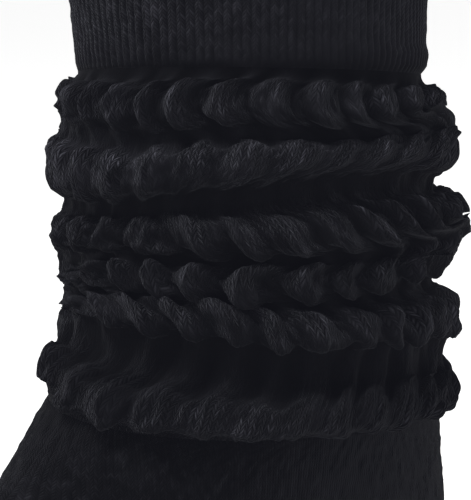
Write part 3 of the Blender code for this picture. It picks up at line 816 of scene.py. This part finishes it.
def cuffOuter(rowCount, columns):
    # Fine ribs on the plain surface, which round over at the mouth in a quarter circle. The yarn's
    # lightness is the stitches' own, mottled, with painted top light, and painted shade near the neck and
    # between the ribs.
    share = np.linspace(0, 1, rowCount)
    down = share[:, None]
    angle = ringAngles(rowCount, columns)
    reach, height = cuffSurface(down, angle, 0.0)
    across = angle / turn
    profile = (0.5 - 0.5 * np.cos(turn * (across * cuff["ribs"] % 1.0)))**cuff["ribRoundness"]
    rib = profile * cuff["ribRise"] * (1 + noise(cuff["ribUnevenness"], cuff["ribs"], across, down))
    rib = rib + noise(cuff["lumps"], cuff["ribs"], across, down)
    outer = atAngle(reach + rib * np.clip((1 - down) / cuff["ribFade"], 0, 1), angle, height)
    radius = cuff["mouthRound"]
    outer[..., 2] -= radius * np.clip(1 - down * rowCount / cuff["sinkRows"], 0, 1)
    bend = np.linspace(0, math.pi / 2, cuff["mouthRows"] + 1)[:-1, None]
    lipReach = reach[0] - radius * (1 - np.sin(bend)) + rib[0] * np.sin(bend)
    lipHeight = sock["height"] - radius * (1 - np.cos(bend)) * np.ones_like(lipReach)
    lip = len(bend)
    points = np.concatenate([atAngle(lipReach, angle[:lip], lipHeight), outer])
    across = np.concatenate([across[:lip], across])
    profile = np.concatenate([profile[:lip], profile])
    share = np.concatenate([np.zeros(lip), share])[:, None]
    courses = lengthDown(points)[:, None] / cuff["coursePitch"] * np.ones_like(across)

    nearNeck = np.clip((share - cuff["neckFrom"]) / (1 - cuff["neckFrom"]), 0, 1)
    upper, lower = (around(places, across[0] * turn) for places in cuff["relief"])
    relief = (upper + (lower - upper) * share) * (1 - cuff["neckBlur"] * nearNeck)
    wales = across * cuff["ribs"]
    tone = stitchTone(wales, courses, cuff["ribs"], relief, cuff["toneSeed"]) * paintedTopLight(points)
    tone *= np.exp(noise(cuff["mottle"], cuff["ribs"], across, courses))
    tone *= 1 - (1 - cuff["neckShade"]) * nearNeck
    tone *= 1 - (1 - around(cuff["grooveShade"], across * turn)) * (1 - profile)
    return points, np.stack([wales, courses], axis=-1), tone, relief


def cuffInner(rowCount, columns):
    # The same surface with no ribs, moved in by the thickness of the cloth.
    share = np.linspace(0, 1, rowCount)
    angle = ringAngles(rowCount, columns)
    reach, height = cuffSurface(share[:, None], angle, cuff["cloth"])
    return atAngle(reach, angle, height)


cuffMaterial = knitMaterial("cuffKnit", cuff["stitchDepth"])
cuffRows = int(cuff["length"] / cuff["rowStep"])
outer, stitches, shade, relief = cuffOuter(cuffRows, cuff["ribs"] * cuff["pointsPerRib"])
inner = cuffInner(cuff["innerRows"], cuff["ribs"])
cuffPiece = clothPiece("cuffRib", outer, inner, stitches, shade, relief, cuffMaterial)
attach(cuffPiece, "root")
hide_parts("ribbed_cuff")
print("cuff made")


# The foot

foot = {
    "wales": 200,
    "waleRise": 0.06,
    # kinds of noise: size, cells for each wale, cells for each section, seed, peaks rounded off
    "crumbs": (0.18, 1, 9, 34, False),
    "lumps": (1.0, 0.5, 3.5, 35, False),
    "lumpRise": 0.05,
    # the same, but with cells for each course, and the share of lumps and patches in the tone
    "pebbles": (0.55, 1, 0.5, 38, True),
    "patches": (1.0, 0.3, 0.25, 36, False),
    "mottle": 0.12,
    "toneSeed": 33,
    # painted shade between the wales
    "grooveShade": 0.88,
    # the foot's lightness under painted shade from the leg's lowest roll, and how clearly its stitches
    # show, at eight places round it
    "lightness": (0.36, 0.35, 0.325, 0.295, 0.27, 0.30, 0.34, 0.36),
    "relief": (0.55, 0.58, 0.64, 0.58, 0.42, 0.4, 0.5, 0.55),
    # the wales slip round the ankle up to this section, less and less over the last ones
    "slipEnd": 5.0,
    "slipFade": 2.0,
    # sections over which the knit rises below the leg and sinks again at the tip
    "topFade": 1 / 3,
    "tipFade": 2.0,
    # painted shadow of the leg's lowest roll on the foot
    "seamShade": 0.55,  # next to the leg, and over this many sections
    "seamShadeTo": 2.0,
    "seamDrop": 0.05,
    "stitchDepth": 0.00040,  # metres
    "coursePitch": 0.95,
    "cloth": 1.8,
    "pointsPerWale": 4,
    "ringsPerSection": 8,
    "innerColumns": 80,
    "innerRings": 3,  # for each section
    "tipForward": 188.4,
    "tipHeight": 8.6,
    # upper point forward, its height, lower point forward, its height, half width, squareness below
    "sections": (
        (54.0, 84.0, -49.8, 80.6, 40.2, 2.0),
        (59.6, 76.0, -50.6, 71.5, 39.5, 2.05),
        (65.6, 68.6, -52.2, 58.5, 38.6, 2.1),
        (72.8, 61.2, -54.2, 41.0, 37.8, 2.15),
        (80.4, 55.2, -53.6, 20.5, 37.2, 2.25),
        (87.6, 51.0, -43.0, 4.0, 36.6, 2.4),
        (94.4, 48.0, -20.0, -1.5, 36.0, 2.6),
        (102.0, 45.0, 13.0, -1.5, 35.6, 2.6),
        (112.0, 41.0, 51.0, -1.5, 37.0, 2.6),
        (127.0, 36.5, 91.0, -1.5, 41.0, 2.6),
        (145.0, 31.0, 123.0, -1.5, 44.0, 2.5),
        (161.0, 26.0, 149.0, -1.5, 42.6, 2.4),
        (174.0, 21.0, 169.0, -0.5, 35.5, 2.3),
        (183.0, 15.2, 181.4, 2.6, 24.0, 2.2),
        (187.3, 10.8, 186.9, 6.6, 11.0, 2.0),
    ),
}


def footRings(at, columns):
    # Rings in the planes through an upper and a lower point: an ellipse above, squarer below.
    places = np.arange(len(foot["sections"]))
    upperY, upperZ, lowerY, lowerZ, side, square = (
        smoothBetween(at, places, column)[:, None] for column in zip(*foot["sections"]))
    angle = ringAngles(1, columns)
    along, across = np.cos(angle - sock["toeAngle"]), np.sin(angle - sock["toeAngle"])
    power = np.where(along < 0, square, 2.0)
    roundOff = (np.abs(along)**power + np.abs(across)**power)**(-1 / power)
    forward = (upperY + lowerY) / 2 + (upperY - lowerY) / 2 * along * roundOff
    height = (upperZ + lowerZ) / 2 + (upperZ - lowerZ) / 2 * along * roundOff
    sideways = side * across * roundOff
    return np.stack([sideways, -forward, height - sock["height"]], axis=-1)


def seamRing(columns, inward):
    # The foot's top edge, just under the leg's lowest crease.
    angle = ringAngles(1, columns)[0]
    height = around(folds[-1]["valleyHeight"], angle) - foot["seamDrop"]
    reach = plainReach(height, angle) + around(folds[-1]["valleyOut"], angle)
    return atAngle(reach - inward, angle, height)


def footWales(rings, at):
    # Each point's wale. The wales cross the ankle's rings at right angles: each slips by the sum of
    # the rings' lean.
    tangent = np.roll(rings, -1, axis=1) - np.roll(rings, 1, axis=1)
    width = np.linalg.norm(tangent, axis=-1, keepdims=True)
    lean = np.sum(np.gradient(rings, axis=0) * tangent / width, axis=-1)
    pitch = (width / 2 * foot["pointsPerWale"]).mean()
    slipping = np.clip((foot["slipEnd"] - at) / foot["slipFade"], 0, 1)[:, None]
    slip = np.cumsum(lean / pitch * slipping, axis=0)
    return np.arange(rings.shape[1])[None, :] / foot["pointsPerWale"] + (slip - slip[0])


def footOuter(columns):
    # The rings, with the first one moved into the crease, and fine wales out along the normals. The
    # yarn's lightness is the stitches' own, mottled, under painted shade round the foot, at the crease
    # and between the wales.
    last = len(foot["sections"]) - 1
    at = np.linspace(0, last, last * foot["ringsPerSection"] + 1)
    rings = footRings(at, columns)
    shift = seamRing(columns, 0.0) - rings[0]
    rings = rings + shift * (np.clip(1 - at, 0, 1)**2)[:, None, None]
    wales = footWales(rings, at)
    across = wales / foot["wales"]
    wale = np.abs(np.sin(math.pi * wales))
    lumps = noise(foot["lumps"], foot["wales"], across, at[:, None])
    rise = foot["waleRise"] * wale + noise(foot["crumbs"], foot["wales"], across, at[:, None])
    rise = rise + foot["lumpRise"] * lumps
    fade = np.clip(np.minimum(at / foot["topFade"], (last - at) / foot["tipFade"]), 0, 1)[:, None]
    points = rings + gridNormals(rings) * (rise * fade)[..., None]
    points[..., 2] = np.maximum(points[..., 2], -sock["height"])

    courses = (lengthDown(rings) / foot["coursePitch"])[:, None] * np.ones_like(wales)
    angle = ringAngles(len(at), columns)
    relief = around(foot["relief"], angle)
    tone = stitchTone(wales, courses, foot["wales"], relief, foot["toneSeed"])
    tone *= around(foot["lightness"], angle)
    patches = noise(foot["patches"], foot["wales"], across, courses)
    tone *= np.exp(foot["mottle"] * np.tanh(lumps + patches))
    tone *= np.exp(noise(foot["pebbles"], foot["wales"], across, courses))
    tone *= foot["grooveShade"] + (1 - foot["grooveShade"]) * wale
    tone *= 1 - (1 - foot["seamShade"]) * np.clip(1 - at / foot["seamShadeTo"], 0, 1)[:, None]
    return points, np.stack([wales, courses], axis=-1), tone, relief


def footInner(columns):
    # Plain rings, moved in along their normals by the thickness of the cloth.
    last = len(foot["sections"]) - 1
    rings = footRings(np.linspace(0, last, last * foot["innerRings"] + 1), columns)
    inner = rings - foot["cloth"] * gridNormals(rings)
    inner[0] = seamRing(columns, foot["cloth"])
    inner[..., 2] = np.maximum(inner[..., 2], foot["cloth"] - sock["height"])
    return inner


footMaterial = knitMaterial("footKnit", foot["stitchDepth"])
outer, stitches, shade, relief = footOuter(foot["wales"] * foot["pointsPerWale"])
inner = footInner(foot["innerColumns"])
tipPoint = np.array([0.0, -foot["tipForward"], foot["tipHeight"] - sock["height"]])
footPiece = clothPiece("footKnit", outer, inner, stitches, shade, relief, footMaterial,
                       tips=[tipPoint, tipPoint + [0.0, foot["cloth"], 0.0]])
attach(footPiece, "root")
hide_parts("foot")
print("foot made")


# Camera, light and floor

studio = {
    "viewAzimuth": 55.0,
    "viewElevation": 7.5,
    "viewDistance": 600.0,
    "frameHeight": 120.5,
    "aim": (-3.4, -98.5),  # sideways and up from the leg's axis at the mouth
    "sensor": 36.0,
    "skyStrength": 0.28,
    # the rest is in metres and watts
    "lampPlace": (0.0, -0.9, 1.5),
    "lampAim": (0.0, 0.0, -0.1),
    "lampSize": 0.7,
    "lampPower": 32,
    "floorReach": 12.0,
    "floorColour": (0.7, 0.7, 0.7, 1.0),
    "floorRoughness": 0.9,
    "floorGlow": 0.75,
}


def makeCamera():
    # Straight at the aim, from the azimuth and elevation, with a lens that takes in the frame's height.
    turned, tilt = math.radians(studio["viewAzimuth"]), math.radians(studio["viewElevation"])
    right = Vector((math.cos(turned), math.sin(turned), 0))
    back = Vector((math.sin(turned) * math.cos(tilt), -math.cos(turned) * math.cos(tilt), math.sin(tilt)))
    aim = right * studio["aim"][0] + Vector((0, 0, studio["aim"][1]))
    camera = bpy.data.objects.new("camera", bpy.data.cameras.new("camera"))
    camera.data.sensor_width = studio["sensor"]
    camera.data.lens = studio["sensor"] * studio["viewDistance"] / studio["frameHeight"]
    camera.location = (aim + back * studio["viewDistance"]) * mm
    camera.rotation_euler = (-back).to_track_quat("-Z", "Y").to_euler()
    camera.data.clip_start, camera.data.clip_end = 0.01, 100.0
    bpy.context.scene.collection.objects.link(camera)
    bpy.context.scene.camera = camera


def makeLight():
    # A white sky, and one square softbox over the toe that faces the middle of the sock.
    world = bpy.data.worlds.new("studio")
    world.use_nodes = True
    sky = world.node_tree.nodes["Background"]
    sky.inputs["Color"].default_value = (1.0, 1.0, 1.0, 1.0)
    sky.inputs["Strength"].default_value = studio["skyStrength"]
    bpy.context.scene.world = world
    lamp = bpy.data.lights.new("keySoftbox", "AREA")
    lamp.size, lamp.energy = studio["lampSize"], studio["lampPower"]
    holder = bpy.data.objects.new("keySoftbox", lamp)
    holder.location = studio["lampPlace"]
    facing = Vector(studio["lampAim"]) - Vector(studio["lampPlace"])
    holder.rotation_euler = facing.to_track_quat("-Z", "Y").to_euler()
    bpy.context.scene.collection.objects.link(holder)


def makeFloor():
    # A pale square under the sole, with a glow of its own that keeps it white.
    mesh = bpy.data.meshes.new("floor")
    reach, level = studio["floorReach"], -sock["height"] * mm
    signs = ((-1, -1), (1, -1), (1, 1), (-1, 1))
    corners = [(x * reach, y * reach, level) for x, y in signs]
    mesh.from_pydata(corners, [], [(0, 1, 2, 3)])
    paint = bpy.data.materials.new("paleFloor")
    paint.use_nodes = True
    sockets = paint.node_tree.nodes["Principled BSDF"].inputs
    sockets["Base Color"].default_value = studio["floorColour"]
    sockets["Roughness"].default_value = studio["floorRoughness"]
    sockets["Emission Color"].default_value = (1.0, 1.0, 1.0, 1.0)
    sockets["Emission Strength"].default_value = studio["floorGlow"]
    mesh.materials.append(paint)
    floor = bpy.data.objects.new("floor", mesh)
    bpy.context.scene.collection.objects.link(floor)
    return floor


makeCamera()
bpy.context.scene.view_settings.view_transform = "Standard"
makeLight()
floor = makeFloor()
print("studio made")
